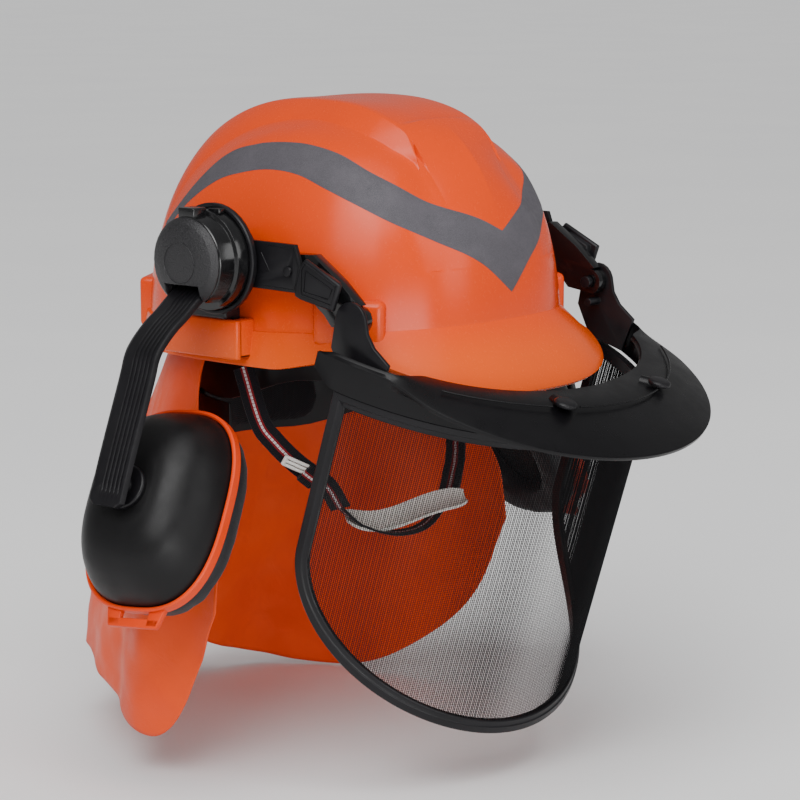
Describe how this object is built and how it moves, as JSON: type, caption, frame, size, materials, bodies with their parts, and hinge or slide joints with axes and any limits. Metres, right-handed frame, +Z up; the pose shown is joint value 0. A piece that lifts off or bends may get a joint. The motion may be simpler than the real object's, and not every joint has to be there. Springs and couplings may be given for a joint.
{
  "type": "forestry helmet",
  "caption": "Orange safety helmet with flip-up mesh visor, swing-out ear muffs, ratchet headband, chin strap and neck cape.",
  "frame": {"origin": "middle of the head opening, in the plane of the side rim of the shell", "axes": "+Z up through the crown, -Y the way the wearer faces, +X the wearer's left"},
  "size_m": [0.4126, 0.4026, 0.383],
  "materials": {
    "shell_orange": "glossy moulded ABS, orange",
    "reflective_grey": "retro-reflective tape, dark grey",
    "harness_black": "satin black polyethylene",
    "pad_cloth": "black textile over foam",
    "webbing": "woven polyester webbing",
    "black_plastic": "satin black nylon",
    "black_gloss": "glossy black ABS",
    "textured_black": "grained black ABS",
    "cup_satin": "satin black ABS",
    "trim_orange": "orange ABS",
    "cushion_skin": "black PVC skin over foam",
    "liner_foam": "open-cell foam, dark grey",
    "pale_plastic": "off-white plastic",
    "cape_sheet": "coated rain cloth, orange",
    "screen_wire": "black woven steel screen"
  },
  "bodies": {
    "helmet": {"helmet_shell": "shell_orange", "reflective_tape": "reflective_grey", "headband": "harness_black", "sweatband": "pad_cloth", "suspension_lug_front_left": "harness_black", "suspension_lug_front_right": "harness_black", "suspension_lug_rear_left": "harness_black", "suspension_lug_rear_right": "harness_black", "crown_strap_lower": "webbing", "crown_strap_upper": "webbing", "chin_strap_right": "webbing", "chin_strap_left": "webbing", "strap_slider_right": "pale_plastic", "chin_cup": "pale_plastic", "neck_cape": "cape_sheet", "cape_stud_rear": "black_plastic", "cape_stud_right": "black_plastic", "cape_stud_left": "black_plastic", "muff_adapter_right": "black_plastic", "muff_adapter_left": "black_plastic", "visor_bracket_right": "black_plastic", "visor_bracket_left": "black_plastic", "visor_rivet_right": "black_plastic", "visor_rivet_left": "black_plastic"},
    "nape": {"nape_band": "harness_black", "nape_pad": "pad_cloth", "ratchet_housing": "harness_black"},
    "knob": {"ratchet_knob": "black_plastic"},
    "visor_links": {"visor_link_right": "black_gloss", "visor_link_left": "black_gloss", "visor_clip_right": "black_plastic", "visor_clip_left": "black_plastic"},
    "visor": {"visor_leaf_right": "black_plastic", "visor_leaf_left": "black_plastic", "browguard": "black_plastic", "browguard_stud_right": "black_plastic", "browguard_stud_left": "black_plastic", "visor_frame": "black_plastic", "visor_screen": "screen_wire"},
    "hub_right": {"hub_housing_right": "black_gloss", "hub_cap_right": "textured_black"},
    "arm_right": {"muff_arm_right": "black_plastic"},
    "carrier_right": {"cup_carrier_right": "black_plastic"},
    "cup_right": {"cup_pivot_right": "black_plastic", "cup_shell_right": "cup_satin", "cup_ring_right": "trim_orange", "ear_cushion_right": "cushion_skin", "foam_liner_right": "liner_foam"},
    "hub_left": {"hub_housing_left": "black_gloss", "hub_cap_left": "textured_black"},
    "arm_left": {"muff_arm_left": "black_plastic"},
    "carrier_left": {"cup_carrier_left": "black_plastic"},
    "cup_left": {"cup_pivot_left": "black_plastic", "cup_shell_left": "cup_satin", "cup_ring_left": "trim_orange", "ear_cushion_left": "cushion_skin", "foam_liner_left": "liner_foam"}
  },
  "joints": [
    {"name": "nape_slide", "type": "slide", "parent": "helmet", "child": "nape", "axis": [0, -1, 0], "range_m": [0, 0.014]},
    {"name": "knob_turn", "type": "hinge", "parent": "nape", "child": "knob", "pos_m": [0, 0.1135, -0.048], "axis": [0, 1, 0], "range_deg": [0, 360]},
    {"name": "visor_lift", "type": "hinge", "parent": "helmet", "child": "visor_links", "pos_m": [0, -0.0528, 0.0564], "axis": [-1, 0, 0], "range_deg": [0, 80]},
    {"name": "visor_tilt", "type": "hinge", "parent": "visor_links", "child": "visor", "pos_m": [0, -0.0958, 0.033], "axis": [-1, 0, 0], "range_deg": [0, 15]},
    {"name": "muff_turn_right", "type": "hinge", "parent": "helmet", "child": "hub_right", "pos_m": [-0.1186, -0.0025, 0.06], "axis": [1, 0, 0], "range_deg": [-12, 12], "deforming": ["neck_cape"]},
    {"name": "muff_swing_right", "type": "hinge", "parent": "hub_right", "child": "arm_right", "pos_m": [-0.13, -0.0025, 0.046], "axis": [0, -1, 0], "range_deg": [0, 16], "deforming": ["neck_cape"]},
    {"name": "muff_height_right", "type": "slide", "parent": "arm_right", "child": "carrier_right", "axis": [-0.341, 0, -0.9401], "range_m": [-0.01, 0.006], "deforming": ["neck_cape"]},
    {"name": "muff_tilt_right", "type": "hinge", "parent": "carrier_right", "child": "cup_right", "pos_m": [-0.19135, -0.00317, -0.05532], "axis": [0, -1, 0], "range_deg": [-4, 6], "deforming": ["neck_cape"]},
    {"name": "muff_turn_left", "type": "hinge", "parent": "helmet", "child": "hub_left", "pos_m": [0.1186, -0.0025, 0.06], "axis": [1, 0, 0], "range_deg": [-12, 12], "deforming": ["neck_cape"]},
    {"name": "muff_swing_left", "type": "hinge", "parent": "hub_left", "child": "arm_left", "pos_m": [0.13, -0.0025, 0.046], "axis": [0, 1, 0], "range_deg": [0, 16], "deforming": ["neck_cape"]},
    {"name": "muff_height_left", "type": "slide", "parent": "arm_left", "child": "carrier_left", "axis": [0.341, 0, -0.9401], "range_m": [-0.01, 0.006], "deforming": ["neck_cape"]},
    {"name": "muff_tilt_left", "type": "hinge", "parent": "carrier_left", "child": "cup_left", "pos_m": [0.19135, -0.00317, -0.05532], "axis": [0, 1, 0], "range_deg": [-4, 6], "deforming": ["neck_cape"]}
  ],
  "couplings": [
    {"joint": "knob_turn", "follows": "nape_slide", "rad_per_m": 448.8}
  ]
}
